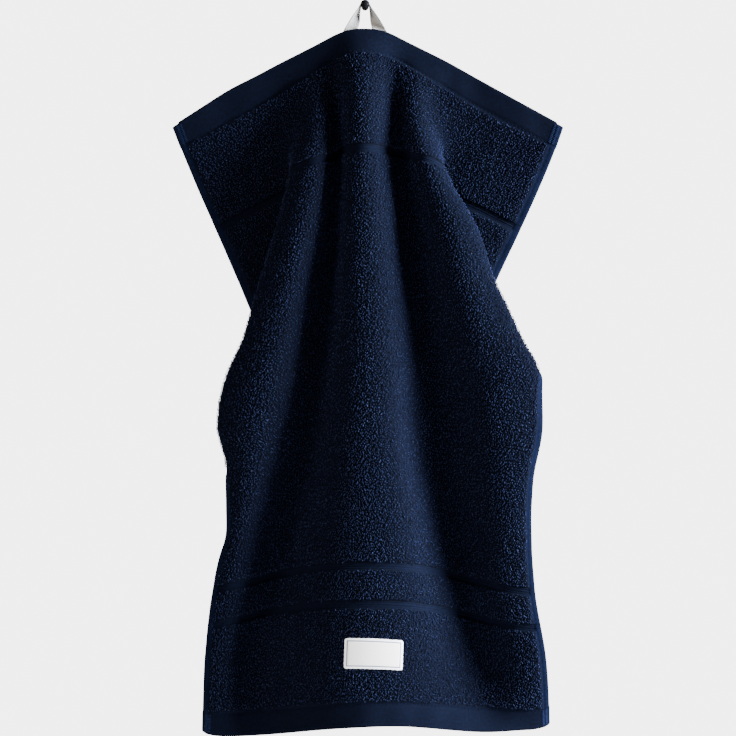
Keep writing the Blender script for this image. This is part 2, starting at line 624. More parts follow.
def make_loops(name, pitch, side, seed, pieces, radius, height):
    """Loops on one side of the cloth, 1 for the front and -1 for the back, as a few joined meshes."""
    across, down = loop_places(pitch, seed)
    point, side_way, down_way, normal = cloth_at(across, down)
    if side > 0:
        bare = ~under_label(point[:, 0] + height * normal[:, 0], down)
        across, down, point = across[bare], down[bare], point[bare]
        side_way, down_way, normal = side_way[bare], down_way[bare], normal[bare]
    random = np.random.default_rng(seed + SHAPE_SEED)
    count = len(across)
    point = point + normal * ripple(across, down)[:, None]
    normal = normal * side
    turn = random.normal(0, TURN_SPREAD, count)
    arch = down_way * np.cos(turn)[:, None] + side_way * np.sin(turn)[:, None]
    lean = side_way * random.normal(0, LEAN_SPREAD, (count, 1))
    lean = lean + down_way * random.normal(LEAN_DOWN, LEAN_SPREAD, (count, 1))
    tall = (height + random.uniform(*HEIGHT_SPREAD, count))[:, None]
    half_span = random.uniform(*HALF_SPAN, count)[:, None]
    thick = (radius * random.uniform(*YARN_SPREAD, count))[:, None]
    across_arch = np.cross(arch, normal)
    sunk = point + normal * (GROUND_HALF - FOOT_SINK)
    corners = [sunk - arch * half_span * FOOT_SPAN]
    for way in (-1, 1):
        shoulder = point + normal * tall + arch * half_span * way + lean
        outward = unit(normal + arch * SHOULDER_SPLAY * way)
        for angle in (0.0, 2 * math.pi / 3, 4 * math.pi / 3):
            corners.append(shoulder + thick * (outward * math.cos(angle) + across_arch * math.sin(angle)))
    corners.append(sunk + arch * half_span * FOOT_SPAN)
    corners = np.stack(corners, axis=1)
    tone = CHANCE_SHARE * random.uniform(0, 1, (count, 1))
    tone = tone + (1 - CHANCE_SHARE) * (tall - tall.min()) / np.ptp(tall)
    lit_corners = np.array([0.0] + [1.0] * (LOOP_CORNERS - 2) + [0.0])
    tone = tone ** TONE_POWER * lit_corners
    pattern = loop_faces()
    made = []
    for part, chosen in enumerate(np.array_split(np.arange(count), pieces)):
        faces = (pattern[None] + LOOP_CORNERS * np.arange(len(chosen))[:, None, None]).reshape(-1, 3)
        uv = np.repeat(np.stack([across[chosen], down[chosen]], axis=1), LOOP_CORNERS, axis=0)
        points = corners[chosen].reshape(-1, 3)
        made.append(mesh_object(f"{name}_{part + 1}", points, faces, uv, tone[chosen]))
    return made


FRONT_PITCH = 1.65
FRONT_YARN = 0.3
FRONT_HEIGHT = 2.35
BACK_PITCH = 2.9
BACK_YARN = 0.5
BACK_HEIGHT = 2.2
front_loops = make_loops("terry_loops_front", FRONT_PITCH, 1, SEED + 10, 4, FRONT_YARN, FRONT_HEIGHT)
back_loops = make_loops("terry_loops_back", BACK_PITCH, -1, SEED + 20, 2, BACK_YARN, BACK_HEIGHT)
print("loops, faces:", [len(piece.data.polygons) for piece in front_loops + back_loops])

# %% [markdown]
# ## Stitches on the hems
# Each hem is turned over and held by one line of lockstitch, a little over a millimetre in from its inner
# edge. A stitch is a short bead of thread that sinks into the cloth at both ends, so it is made as a low
# capsule, and a whole line of them is one joined mesh. Fine threads also cross the side ends of the hems,
# one above another, where the selvedge is folded in with the hem.

# %% Stitches from places and directions
STITCH_RINGS = [(-1.0, 0.25), (-0.55, 0.9), (0.0, 1.0), (0.55, 0.9), (1.0, 0.25)]
STITCH_SIDES = 6
STITCH_SINK = 0.7


def stitches(name, centres, along, outward, length, radius, uv):
    """Capsule stitches at centres in mm, each lying in its own direction on a surface with its own normal."""
    across_thread = np.cross(along, outward)
    corners = []
    for place, swell in STITCH_RINGS:
        ring = centres + along * (place * length / 2) + outward * (radius * (swell - STITCH_SINK))
        for k in range(STITCH_SIDES):
            angle = k * 2 * math.pi / STITCH_SIDES
            spoke = outward * math.cos(angle) + across_thread * math.sin(angle)
            corners.append(ring + radius * swell * spoke)
    corners = np.stack(corners, axis=1)
    step = STITCH_SIDES * len(STITCH_RINGS)
    last = step - STITCH_SIDES
    quads = []
    for ring in range(0, last, STITCH_SIDES):
        for k in range(STITCH_SIDES):
            after = (k + 1) % STITCH_SIDES
            quads.append([ring + k, ring + after, ring + STITCH_SIDES + after, ring + STITCH_SIDES + k])
    quads += [[0, 5, 4, 3], [0, 3, 2, 1]]
    quads += [[last, last + 1, last + 2, last + 3], [last, last + 3, last + 4, last + 5]]
    faces = (np.array(quads)[None] + step * np.arange(len(centres))[:, None, None]).reshape(-1, 4)
    return mesh_object(name, corners.reshape(-1, 3), faces, np.repeat(uv, step, axis=0))


STITCH_PITCH = 2.9
STITCH_LENGTH = 2.2
STITCH_RADIUS = 0.24
STITCH_LIFT = 0.12
SEAM_FROM_SIDE = 2.5
END_THREAD_PITCH = 1.15
END_THREAD_LENGTH = 2.5
END_THREAD_RADIUS = 0.26
END_THREAD_LIFT = 0.05
END_THREADS_FROM = 2.0
END_THREADS_TO = HEM_DEPTH - 2.2
END_THREADS_ACROSS = [144.9, 147.3]


def hem_stitches(side):
    """Both hem seams on one face of the cloth, 1 for the front and -1 for the back."""
    line = np.arange(-HALF_WIDTH + SEAM_FROM_SIDE, HALF_WIDTH - SEAM_FROM_SIDE, STITCH_PITCH)
    across = np.concatenate([line, line])
    down = np.repeat([HEM_DEPTH - SEAM_INSET, LENGTH - HEM_DEPTH + SEAM_INSET], len(line))
    point, side_way, _, normal = cloth_at(across, down)
    out = ripple(across, down) + side * (ground_half(across, down) + STITCH_LIFT)
    point = point + normal * out[:, None]
    name = "hem_stitches_front" if side > 0 else "hem_stitches_back"
    return stitches(name, point, side_way, normal * side, STITCH_LENGTH, STITCH_RADIUS,
                    np.stack([across, down], axis=1))


def hem_end_threads():
    """Fine parallel threads across the four ends of the hems, where the selvedge is folded in."""
    line = np.arange(END_THREADS_FROM, END_THREADS_TO, END_THREAD_PITCH)
    down, across = np.meshgrid(np.concatenate([line, LENGTH - line]), END_THREADS_ACROSS)
    down, across = np.tile(down.ravel(), 2), np.concatenate([across.ravel(), -across.ravel()])
    point, side_way, _, normal = cloth_at(across, down)
    out = ripple(across, down) + ground_half(across, down) + END_THREAD_LIFT
    return stitches("hem_end_threads", point + normal * out[:, None], side_way, normal,
                    END_THREAD_LENGTH, END_THREAD_RADIUS, np.stack([across, down], axis=1))


hem_seams = [hem_stitches(1), hem_stitches(-1)]
hem_ends = hem_end_threads()
print("hem stitches, faces:", [len(piece.data.polygons) for piece in hem_seams])

# %% [markdown]
# ## The ribbon loop
# A narrow woven ribbon is folded into a loop and sewn flat to the back of the hem. On its way up each
# strand turns a quarter, so that the ribbon lies flat over the peg's round neck. A strip is easiest to draw
# by its two edges: a short table gives where the outer and inner edge pass, and the strip is stretched
# between them.

# %% Lay the ribbon's edges
RIBBON_THICKNESS = 0.6
SEWN_LENGTH = 10.0
SEWN_LEFT = (-15.2, -4.2)
# The cloth's middle lies a little left of the peg, so the right end is sewn further out.
SEWN_RIGHT = (16.9, 5.9)
SEWN_GAP = 0.3
# Each row: how far right of the peg, out from the wall and below the peg the outer edge is, then the inner.
STRAND = [
    [-11.2, 13.4, 11.4, -3.9, 8.6, 11.4],
    [-7.2, 14.6, 5.6, -3.7, 5.4, 5.8],
    [-4.4, 15.2, 1.8, -3.3, 4.9, 2.2],
    [-2.9, 15.3, -0.9, -2.7, 4.8, -0.6],
    [0, 15.3, -2.7, 0, 4.8, -2.7],
]
RIBBON_LENGTHWISE = 12
RIBBON_CROSSWISE = 13
RIBBON_CORD = 0.1
RIBBON_RIM = 0.12


def sewn_place(across, down):
    """A point on the ribbon's middle where it lies against the back of the hem."""
    point, _, _, normal = cloth_at(across, down)
    behind = HEM_HALF + SEWN_GAP + RIBBON_THICKNESS / 2
    return point - normal * behind


def ribbon_edges():
    """The ribbon's outer and inner edge points, from its left sewn end over the neck to its right one."""
    left_end, right_end = [[np.concatenate([sewn_place(outer, down), sewn_place(inner, down)])
                            for down in (SEWN_LENGTH, SEWN_LENGTH / 2, 0.0)]
                           for outer, inner in (SEWN_LEFT, SEWN_RIGHT)]
    left_strand = [np.array(row) * [1, -1, -1, 1, -1, -1] for row in STRAND]
    right_strand = [row * [-1, 1, 1, -1, 1, 1] for row in left_strand[-2::-1]]
    return np.array(left_end + left_strand + right_strand + right_end[::-1])


edges = ribbon_edges()
middle_line = (edges[:, :3] + edges[:, 3:]) / 2
knots = travelled(middle_line, CHORD_POWER)
fine_knots = np.concatenate([np.linspace(a, b, RIBBON_LENGTHWISE, endpoint=False)
                             for a, b in zip(knots[:-1], knots[1:])] + [knots[-1:]])
edge_curve = curve_through(knots, edges, fine_knots, steady=False)
share = np.linspace(0, 1, RIBBON_CROSSWISE)[None, :, None]
ribbon_middle = edge_curve[:, None, :3] * (1 - share) + edge_curve[:, None, 3:] * share
along_ribbon = travelled(ribbon_middle[:, RIBBON_CROSSWISE // 2])
ribbon_width = np.linalg.norm(edge_curve[:, :3] - edge_curve[:, 3:], axis=1)


# %% Thicken the ribbon
def grid_normals(grid):
    """Front normals of a grid whose rows run down and whose columns run right."""
    across = np.gradient(grid, axis=1)
    down = np.gradient(grid, axis=0)
    return unit(np.cross(down, across))


ribbon_normal = grid_normals(ribbon_middle)
across_ribbon = np.linspace(0, ribbon_width.mean(), RIBBON_CROSSWISE)
ribbon_uv = np.stack(np.meshgrid(across_ribbon, along_ribbon), axis=-1)
cord_edge = RIBBON_CORD * np.cos(np.linspace(0, 2 * math.pi, RIBBON_CROSSWISE))[None, :, None]
ribbon_half = (RIBBON_THICKNESS / 2 - RIBBON_CORD) + cord_edge
ribbon = slab_object("loop_ribbon", ribbon_middle + ribbon_normal * ribbon_half,
                     ribbon_middle - ribbon_normal * ribbon_half, RIBBON_RIM, ribbon_uv)
print("loop ribbon:", len(ribbon.data.polygons), "faces")


# %% Sew the ribbon down
BOX_INSET = 1.2
BOX_TOP = 1.8
BOX_BOTTOM = SEWN_LENGTH - 1.4
BOX_PITCH = 2.1
BOX_STITCH_LENGTH = 1.6
BOX_STITCH_RADIUS = 0.2
BOX_STITCH_LIFT = 0.05


def ribbon_seams():
    """A box of stitches on each sewn end of the ribbon, seen from behind."""
    places, ways = [], []
    for outer, inner in (SEWN_RIGHT, SEWN_LEFT):
        inset = math.copysign(BOX_INSET, outer)
        corners = [(inner + inset, BOX_TOP), (outer - inset, BOX_TOP),
                   (outer - inset, BOX_BOTTOM), (inner + inset, BOX_BOTTOM)]
        for start, end in zip(corners, corners[1:] + corners[:1]):
            start, end = np.array(start), np.array(end)
            count = int(round(np.linalg.norm(end - start) / BOX_PITCH))
            for k in range(count):
                places.append(start + (end - start) * (k + 0.5) / count)
                ways.append(unit(end - start))
    places, ways = np.array(places), np.array(ways)
    point, side_way, down_way, normal = cloth_at(places[:, 0], places[:, 1])
    behind = HEM_HALF + SEWN_GAP + RIBBON_THICKNESS + BOX_STITCH_LIFT
    along = side_way * ways[:, :1] + down_way * ways[:, 1:]
    return stitches("ribbon_stitches", point - normal * behind, along, -normal,
                    BOX_STITCH_LENGTH, BOX_STITCH_RADIUS, places)


ribbon_sewing = ribbon_seams()
print("ribbon stitches:", len(ribbon_sewing.data.polygons), "faces")

# %% [markdown]
# ## The sewn label
# The label is a damask-woven strip, turned in at its ends and sewn round close to its edge. Its thread
# pulls the edge down into the pile, so the middle stands a little proud and the edge waves between the
# stitches. It carries no words: only the thin blue-grey frame line that runs inside its edge.

# %% Build the label
LABEL_THICKNESS = 0.5
LABEL_LIFT = 2.9
LABEL_EDGE_LIFT = 2.45
LABEL_CORNER = 1.5
LABEL_COLUMNS = 106
LABEL_ROWS = 54
LABEL_SHOULDER = 3.2
LABEL_RIM = 0.18
EDGE_CROWDING = 1.25
EDGE_WAVE = 0.08
END_WAVE_POWER = 6
SIDE_WAVE_LENGTH = 3.1
END_WAVE_LENGTH = 3.3
SEARCH_STEPS = 12
SEARCH_SHARE = 0.8


def across_at(x, down, lift):
    """The place across the cloth at which a face lifted above its middle lies x mm right of the peg."""
    across = np.array(x, float)
    for _ in range(SEARCH_STEPS):
        point, _, _, normal = cloth_at(across, down)
        across = across + SEARCH_SHARE * (x - point[..., 0] - lift * normal[..., 0])
    return across


def label_surface(a, b, lift):
    """Points and normals above the cloth at label places a (right) and b (down), in mm from its centre."""
    x = LABEL_X + a * math.cos(LABEL_TILT) - b * math.sin(LABEL_TILT)
    down = LABEL_CENTRE_DOWN + a * math.sin(LABEL_TILT) + b * math.cos(LABEL_TILT)
    point, _, _, normal = cloth_at(across_at(x, down, LABEL_LIFT), down)
    return point + normal * np.asarray(lift)[..., None], normal


def label_lift(a, b):
    """How far the label's middle stands above the cloth's middle surface."""
    to_edge = np.minimum(LABEL_WIDTH / 2 - np.abs(a), LABEL_HEIGHT / 2 - np.abs(b))
    return LABEL_EDGE_LIFT + (LABEL_LIFT - LABEL_EDGE_LIFT) * smooth_step(0.0, LABEL_SHOULDER, to_edge)


b_line = np.linspace(-1, 1, LABEL_ROWS)
b_line = np.sign(b_line) * (1 - (1 - np.abs(b_line)) ** EDGE_CROWDING)
into_corner = np.maximum(0, LABEL_CORNER - (1 - np.abs(b_line)) * LABEL_HEIGHT / 2)
corner_inset = LABEL_CORNER - np.sqrt(LABEL_CORNER**2 - into_corner**2)
edge_wave = EDGE_WAVE * np.sin(2 * math.pi * b_line * LABEL_HEIGHT / 2 / SIDE_WAVE_LENGTH)
half_widths = LABEL_WIDTH / 2 - corner_inset + edge_wave
label_a = np.linspace(-1, 1, LABEL_COLUMNS)[None, :] * half_widths[:, None]
label_b = np.repeat(b_line[:, None] * LABEL_HEIGHT / 2, LABEL_COLUMNS, axis=1)
near_ends = np.abs(b_line[:, None]) ** END_WAVE_POWER
label_b = label_b + EDGE_WAVE * np.sin(2 * math.pi * label_a / END_WAVE_LENGTH) * near_ends
label_middle, label_normal = label_surface(label_a, label_b, label_lift(label_a, label_b))
label_half = label_normal * LABEL_THICKNESS / 2
label = slab_object("woven_label", label_middle + label_half, label_middle - label_half, LABEL_RIM,
                    np.stack([label_a, label_b], axis=-1))
print("woven label:", len(label.data.polygons), "faces")

# %% Sew the label down
LABEL_SEAM_INSET = 0.75
LABEL_STITCH_PITCH = 2.3
LABEL_STITCH_LENGTH = 1.7
LABEL_STITCH_RADIUS = 0.17
LABEL_STITCH_LIFT = 0.02
SEAM_CORNER = 1.4
A_LITTLE_ON = 0.3


def label_stitches():
    """Stitches all round the label, just inside its edge."""
    half_width, half_height = LABEL_WIDTH / 2 - LABEL_SEAM_INSET, LABEL_HEIGHT / 2 - LABEL_SEAM_INSET
    wide = np.arange(-half_width + SEAM_CORNER, half_width - SEAM_CORNER, LABEL_STITCH_PITCH)
    tall = np.arange(-half_height + SEAM_CORNER, half_height - SEAM_CORNER, LABEL_STITCH_PITCH)
    a = np.concatenate([wide, wide, np.full(len(tall), -half_width), np.full(len(tall), half_width)])
    b = np.concatenate([np.full(len(wide), -half_height), np.full(len(wide), half_height), tall, tall])
    level = np.concatenate([np.ones(2 * len(wide)), np.zeros(2 * len(tall))])
    lift = label_lift(a, b)
    ahead, _ = label_surface(a + A_LITTLE_ON * level, b + A_LITTLE_ON * (1 - level), lift)
    base, normal = label_surface(a, b, lift)
    here = base + normal * (LABEL_THICKNESS / 2 + LABEL_STITCH_LIFT)
    return stitches("label_stitches", here, unit(ahead - base), normal,
                    LABEL_STITCH_LENGTH, LABEL_STITCH_RADIUS, np.stack([a, b], axis=1))


label_sewing = label_stitches()
print("label stitches:", len(label_sewing.data.polygons), "faces")

# %% [markdown]
# ## The wall peg
# The peg is turned: a foot that sits on the wall, a straight neck, and a ball that keeps the loop from
# slipping off. A turned thing is a profile spun about its axis. The foot has a rounded edge and a small
# fillet to the neck, as any moulded part has.

# %% Turn the peg
PEG_BALL_RADIUS = 3.3
PEG_BALL_OUT = 19.0
PEG_NECK_RADIUS = 1.9
PEG_FOOT_RADIUS = 2.6
PEG_FOOT_DEPTH = 2.0
PEG_SIDES = 64
FOOT_BEVEL = 0.15
FOOT_ROUND = 0.4
NECK_FILLET = 0.5
ROUND_STEPS = 6
BALL_STEPS = 28


def arc(centre_out, centre_radius, radius, start, end, steps):
    """Profile points (out, radius) on an arc, with angles measured from the wall-to-room direction."""
    angles = np.radians(np.linspace(start, end, steps))
    return [(centre_out + radius * math.cos(angle), centre_radius + radius * math.sin(angle))
            for angle in angles]


def peg_profile():
    """The peg's profile from the middle of its foot to the tip of its ball."""
    bevel = [(0.0, 0.0), (0.0, PEG_FOOT_RADIUS - FOOT_BEVEL), (FOOT_BEVEL, PEG_FOOT_RADIUS)]
    foot_edge = arc(PEG_FOOT_DEPTH - FOOT_ROUND, PEG_FOOT_RADIUS - FOOT_ROUND, FOOT_ROUND, 90, 0,
                    ROUND_STEPS)
    fillet = arc(PEG_FOOT_DEPTH + NECK_FILLET, PEG_NECK_RADIUS + NECK_FILLET, NECK_FILLET, 180, 270,
                 ROUND_STEPS)
    meeting = 180 - math.degrees(math.asin(PEG_NECK_RADIUS / PEG_BALL_RADIUS))
    ball = arc(PEG_BALL_OUT, 0.0, PEG_BALL_RADIUS, meeting, 0, BALL_STEPS)
    return bevel + foot_edge + fillet + ball


def turned(name, profile, sides):
    """A solid turned about the axis that points out of the wall, closed at both ends."""
    rings = np.array(profile[1:-1])
    angles = np.arange(sides) * 2 * math.pi / sides
    ring_points = np.stack([
        rings[:, 1:] * np.sin(angles),
        np.repeat(-rings[:, :1], sides, axis=1),
        rings[:, 1:] * np.cos(angles),
    ], axis=-1).reshape(-1, 3)
    grid = np.arange(len(ring_points)).reshape(len(rings), sides)
    after = np.roll(grid, -1, axis=1)
    quads = np.stack([grid[:-1], after[:-1], after[1:], grid[1:]], axis=-1).reshape(-1, 4)
    piece = mesh_object(name, ring_points, quads)
    mesh = piece.data
    work = bmesh.new()
    work.from_mesh(mesh)
    for ring, out in ((grid[0], profile[0][0]), (grid[-1], profile[-1][0])):
        tip = work.verts.new((0.0, -out * MM, 0.0))
        work.verts.ensure_lookup_table()
        for k in range(sides):
            work.faces.new((work.verts[ring[k]], work.verts[ring[(k + 1) % sides]], tip))
    bmesh.ops.recalc_face_normals(work, faces=work.faces)
    for face in work.faces:
        face.smooth = True
    work.to_mesh(mesh)
    work.free()
    return piece


peg = turned("ball_peg", peg_profile(), PEG_SIDES)
print("ball peg:", len(peg.data.polygons), "faces")

# %% [markdown]
# ## Colours and a helper for materials
# Colours are written as they look on a screen, in sRGB hex, and one function turns them to the linear
# values that a renderer adds and multiplies. One small function adds a node, sets it and links it, so that
# each material below reads as a recipe.

# %% Helpers for materials
def linear(hex_colour):
    """An sRGB hex colour as linear red, green, blue and alpha."""
    channels = [int(hex_colour[i:i + 2], 16) / 255 for i in (1, 3, 5)]
    return [c / 12.92 if c <= 0.04045 else ((c + 0.055) / 1.055) ** 2.4 for c in channels] + [1.0]


def add_node(tree, kind, settings=None, links=None):
    """Adds a node, sets its fields or inputs, by name or by number, and links its inputs from sockets."""
    node = tree.nodes.new(kind)
    for name, value in (settings or {}).items():
        if isinstance(name, int) or name in node.inputs:
            node.inputs[name].default_value = value
        else:
            setattr(node, name, value)
    for name, socket in (links or {}).items():
        tree.links.new(socket, node.inputs[name])
    return node


def new_material(name, settings):
    """A material with a Principled shader whose uniform values are set on its own sockets."""
    material = bpy.data.materials.new(name)
    material.use_nodes = True
    tree = material.node_tree
    tree.nodes.clear()
    shader = add_node(tree, "ShaderNodeBsdfPrincipled", settings)
    add_node(tree, "ShaderNodeOutputMaterial", {}, {"Surface": shader.outputs["BSDF"]})
    return material, tree, shader


def pattern_scale(size_mm):
    """A noise texture's scale for features of about that size, on coordinates in metres."""
    return 1 / (size_mm * MM)


print("white in linear light:", linear("#ffffff"))

# %% [markdown]
# ## Navy cotton terry
# Cotton yarn is matt: its fibres scatter light every way, with a faint halo of fuzz at a glancing angle
# that the sheen layer gives. Dye takes unevenly on loops, so the colour drifts a little over a couple of
# centimetres, and each loop has its own shade, which its mesh carries. What makes terry look deep is the
# shadow between the loops, which is real geometry here.

# %% Material of the loops
COTTON_IOR = 1.5
DYE_DRIFT_MM = 22.0
DRIFT_SHARE = 0.35
DARKEST_YARN = 0.15
PALEST_YARN = 1.15
NAVY_AT = 0.6
NAVY_DEEP = "#06070f"
NAVY = "#131a35"
NAVY_PALE = "#272e47"
YARN_SHADE = {"attribute_type": "GEOMETRY", "attribute_name": "yarn_shade"}

terry_cotton, tree, shader = new_material("dyed_cotton_terry", {
    "Roughness": 0.8, "IOR": COTTON_IOR, "Specular IOR Level": 0.05,
    "Sheen Weight": 0.02, "Sheen Roughness": 0.5, "Sheen Tint": linear("#8fa6d6"),
})
places = add_node(tree, "ShaderNodeTexCoord")
yarn = add_node(tree, "ShaderNodeAttribute", YARN_SHADE)
drift = add_node(tree, "ShaderNodeTexNoise", {"Scale": pattern_scale(DYE_DRIFT_MM), "Detail": 2.0},
                 {"Vector": places.outputs["UV"]})
tone = add_node(tree, "ShaderNodeMath", {"operation": "MULTIPLY_ADD", 1: DRIFT_SHARE},
                {0: drift.outputs["Fac"], 2: yarn.outputs["Fac"]})
spread = add_node(tree, "ShaderNodeMapRange", {"From Min": DARKEST_YARN, "From Max": PALEST_YARN},
                  {"Value": tone.outputs["Value"]})
dye = add_node(tree, "ShaderNodeValToRGB", {}, {"Fac": spread.outputs["Result"]})
dye.color_ramp.elements[0].color = linear(NAVY_DEEP)
dye.color_ramp.elements[1].color = linear(NAVY_PALE)
dye.color_ramp.elements.new(NAVY_AT).color = linear(NAVY)
tree.links.new(dye.outputs["Color"], shader.inputs["Base Color"])
for piece in front_loops + back_loops:
    piece.data.materials.append(terry_cotton)
print("terry:", terry_cotton.name, "on", len(front_loops + back_loops), "pieces")

# %% [markdown]
# ## Flat weave of the hems, bands and edges
# The same yarn, woven flat, is darker than the pile, because tight threads shade each other. The weave is
# drawn from the cloth's own coordinates with two waves, one along the threads and one across them, and
# gives a low bump. Real threads are about half a millimetre apart. They are drawn a little coarser, to
# survive at this size. Fine slubs break them up, and the mesh's own shade keeps hems and selvedges lighter
# than the bands' first rib.

# %% Material of the ground
THREAD_MM = 0.75
SLUB_MM = 1.8
CROWN_SHARE = 0.5
SHADE_RANGE = {"From Min": 0.42, "From Max": 0.98, "To Min": 0.2, "To Max": 1.8}
WAVE_PERIODS = 2 * math.pi / 20
GROUND_DEEP = "#040509"
GROUND_LIGHT = "#0d1630"


def wave_scale(period_mm):
    """A wave texture's scale for one wave every period_mm, on coordinates in metres."""
    return WAVE_PERIODS / (period_mm * MM)


def woven_bump(tree, shader, period_mm, strength, depth_mm, weft_share=1.0):
    """A plain weave pressed into a shader: warp and weft threads, multiplied into small crowns."""
    places = add_node(tree, "ShaderNodeTexCoord")
    warp = add_node(tree, "ShaderNodeTexWave", {"Scale": wave_scale(period_mm), "bands_direction": "X"},
                    {"Vector": places.outputs["UV"]})
    weft = add_node(tree, "ShaderNodeTexWave",
                    {"Scale": wave_scale(period_mm * weft_share), "bands_direction": "Y"},
                    {"Vector": places.outputs["UV"]})
    crowns = add_node(tree, "ShaderNodeMath", {"operation": "MULTIPLY"},
                      {0: warp.outputs["Fac"], 1: weft.outputs["Fac"]})
    bump = add_node(tree, "ShaderNodeBump", {"Strength": strength, "Distance": depth_mm * MM},
                    {"Height": crowns.outputs["Value"]})
    tree.links.new(bump.outputs["Normal"], shader.inputs["Normal"])
    return places, crowns


ground_cotton, tree, shader = new_material("flat_woven_cotton", {
    "Roughness": 0.9, "IOR": COTTON_IOR, "Specular IOR Level": 0.02,
    "Sheen Weight": 0.01, "Sheen Roughness": 0.5, "Sheen Tint": linear("#7f96c8"),
})
places, crowns = woven_bump(tree, shader, THREAD_MM, strength=0.5, depth_mm=0.15)
slubs = add_node(tree, "ShaderNodeTexNoise", {"Scale": pattern_scale(SLUB_MM), "Detail": 3.0},
                 {"Vector": places.outputs["UV"]})
weave = add_node(tree, "ShaderNodeAttribute", YARN_SHADE)
uneven = add_node(tree, "ShaderNodeMath", {"operation": "MULTIPLY_ADD", 1: CROWN_SHARE},
                  {0: crowns.outputs["Value"], 2: slubs.outputs["Fac"]})
spread = add_node(tree, "ShaderNodeMapRange", SHADE_RANGE, {"Value": uneven.outputs["Value"]})
shade = add_node(tree, "ShaderNodeMath", {"operation": "MULTIPLY"},
                 {0: spread.outputs["Result"], 1: weave.outputs["Fac"]})
dye = add_node(tree, "ShaderNodeMix",
               {"data_type": "RGBA", "A": linear(GROUND_DEEP), "B": linear(GROUND_LIGHT)},
               {"Factor": shade.outputs["Value"]})
tree.links.new(dye.outputs["Result"], shader.inputs["Base Color"])
ground.data.materials.append(ground_cotton)
print("ground:", ground_cotton.name)

# %% [markdown]
# ## Thread, ribbon, label and peg
# Sewing thread is smooth and tightly twisted. The navy one is dyed to match and nearly matt, and the white
# one catches a little light. The ribbon and the label are polyester: the ribbon's coarse weave shows as
# rows of small crowns, and the label's satin face has a soft gloss that follows its fine threads. The peg
# is moulded plastic, so dark that from the front its ball reads as one black dot.

# %% Materials of the threads
def thread_material(name, settings, drift_mm, deep, pale):
    """A sewing thread whose colour drifts between two tones along its length."""
    thread, tree, shader = new_material(name, settings)
    places = add_node(tree, "ShaderNodeTexCoord")
    drift = add_node(tree, "ShaderNodeTexNoise", {"Scale": pattern_scale(drift_mm)},
                     {"Vector": places.outputs["UV"]})
    tint = add_node(tree, "ShaderNodeMix", {"data_type": "RGBA", "A": linear(deep), "B": linear(pale)},
                    {"Factor": drift.outputs["Fac"]})
    tree.links.new(tint.outputs["Result"], shader.inputs["Base Color"])
    return thread


POLYESTER_IOR = 1.55
NAVY_THREAD = {"Roughness": 0.8, "IOR": COTTON_IOR, "Specular IOR Level": 0.03,
               "Sheen Weight": 0.01, "Sheen Roughness": 0.4, "Sheen Tint": linear("#9fb0dc")}
WHITE_THREAD = {"Roughness": 0.5, "IOR": POLYESTER_IOR, "Specular IOR Level": 0.45}
hem_thread = thread_material("navy_sewing_thread", NAVY_THREAD, 5.0, "#02040a", "#060c1e")
end_thread = thread_material("navy_selvedge_thread", NAVY_THREAD, 2.0, "#0a1020", "#1a2342")
white_thread = thread_material("white_sewing_thread", WHITE_THREAD, 4.0, "#dcdde0", "#f4f4f2")
for thread, pieces in ((hem_thread, hem_seams), (end_thread, [hem_ends]),
                       (white_thread, [ribbon_sewing, label_sewing])):
    for piece in pieces:
        piece.data.materials.append(thread)
print("threads:", hem_thread.name, end_thread.name, white_thread.name)

# %% Material of the white ribbon
RIB_MM = 0.85
RIBBON_DEEP = "#858380"
RIBBON_LIGHT = "#b0aea9"
ribbon_cloth, tree, shader = new_material("white_polyester_ribbon", {
    "Roughness": 0.55, "IOR": POLYESTER_IOR, "Specular IOR Level": 0.2,
    "Sheen Weight": 0.04, "Sheen Roughness": 0.35, "Sheen Tint": linear("#ffffff"),
})
places, crowns = woven_bump(tree, shader, RIB_MM, strength=0.8, depth_mm=0.22)
tint = add_node(tree, "ShaderNodeMix",
                {"data_type": "RGBA", "A": linear(RIBBON_DEEP), "B": linear(RIBBON_LIGHT)},
                {"Factor": crowns.outputs["Value"]})
tree.links.new(tint.outputs["Result"], shader.inputs["Base Color"])
ribbon.data.materials.append(ribbon_cloth)
print("ribbon:", ribbon_cloth.name)

# %% Material of the label
FRAME_INSET = 1.8
FRAME_LINE = 0.7
LINE_OUTER = 0.7
LINE_INNER = 0.35
SATIN_MM = 0.45
SATIN_DEEP = "#f2ede7"
SATIN_LIGHT = "#fffbf6"
BORDER_WHITE = "#ffffff"
FRAME_BLUE = "#464f70"
label_cloth, tree, shader = new_material("white_damask_label", {
    "Roughness": 0.5, "IOR": POLYESTER_IOR, "Specular IOR Level": 0.4,
    "Sheen Weight": 0.15, "Sheen Roughness": 0.35, "Sheen Tint": linear("#ffffff"),
})
places, crowns = woven_bump(tree, shader, SATIN_MM, strength=0.3, depth_mm=0.08, weft_share=0.8)
parts = add_node(tree, "ShaderNodeSeparateXYZ", {}, {"Vector": places.outputs["UV"]})


def beyond(tree, socket, limit_mm):
    """How far a coordinate is beyond a limit on either side of the middle, in metres."""
    size = add_node(tree, "ShaderNodeMath", {"operation": "ABSOLUTE"}, {0: socket})
    return add_node(tree, "ShaderNodeMath", {"operation": "SUBTRACT", 1: limit_mm * MM},
                    {0: size.outputs["Value"]})


